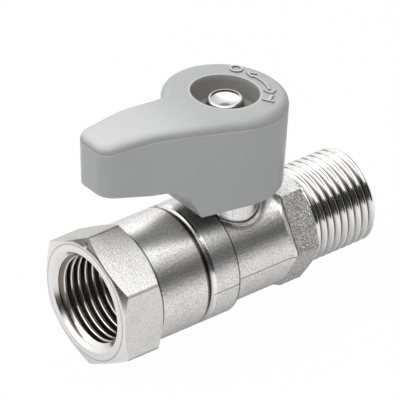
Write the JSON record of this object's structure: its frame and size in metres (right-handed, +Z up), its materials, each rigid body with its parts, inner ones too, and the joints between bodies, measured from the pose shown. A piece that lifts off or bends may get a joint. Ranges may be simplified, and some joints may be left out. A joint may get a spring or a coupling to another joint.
{
  "type": "mini ball valve",
  "caption": "Quarter-turn ball valve with a female pipe end, a male pipe end, two spanner hexagons and a short moulded lever.",
  "frame": {"origin": "on the bore axis, 2 mm inside the face of the female end, where its full thread starts", "axes": "+X along the bore from the female end to the male end, +Z up the stem to the lever"},
  "size_m": [0.0689, 0.027, 0.0547],
  "materials": {
    "plated_brass": "nickel plated, blasted satin, machined faces bright",
    "ball_metal": "chrome plated, polished",
    "lever_plastic": "smooth grey moulding",
    "seat_plastic": "white, slippery",
    "seal_rubber": "black",
    "screw_steel": "zinc plated, bright"
  },
  "bodies": {
    "valve": {"body": "plated_brass", "end_cap": "plated_brass", "cap_seal": "seat_plastic", "seat_inlet": "seat_plastic", "seat_outlet": "seat_plastic"},
    "lever": {"handle": "lever_plastic", "handle_washer": "screw_steel", "handle_screw": "screw_steel", "stem": "plated_brass", "stem_washer": "seat_plastic", "stem_o_ring_lower": "seal_rubber", "stem_o_ring_upper": "seal_rubber", "ball": "ball_metal"}
  },
  "joints": [
    {"name": "quarter_turn", "type": "hinge", "parent": "valve", "child": "lever", "pos_m": [0.0346, 0, 0], "axis": [0, 0, -1], "range_deg": [0, 90]}
  ]
}
